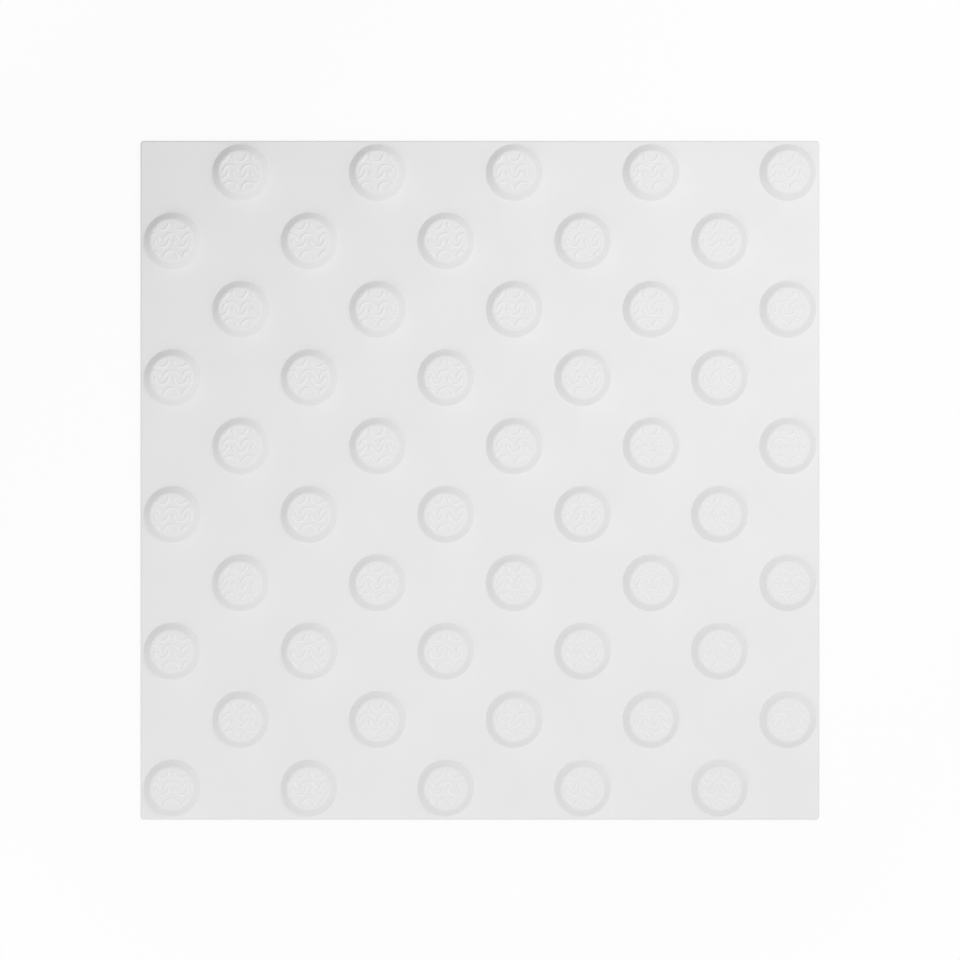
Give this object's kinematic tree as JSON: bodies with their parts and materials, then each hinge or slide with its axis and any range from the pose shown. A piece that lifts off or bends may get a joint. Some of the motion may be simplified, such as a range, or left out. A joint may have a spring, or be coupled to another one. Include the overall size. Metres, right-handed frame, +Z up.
{
  "type": "tactile paving slab",
  "caption": "Thin square tactile paving slab with staggered truncated domes and a flat underside, laid to warn people with low vision of a hazard ahead.",
  "frame": {"origin": "middle of the flat underside, which beds on the floor", "axes": "+Z up out of the domed face, +X along the rows of domes, +Y across the rows, towards the picture's upper edge"},
  "size_m": [0.298, 0.298, 0.008],
  "materials": {
    "polymer": "matte"
  },
  "bodies": {
    "root": {"tactile_slab": "polymer"}
  },
  "joints": []
}
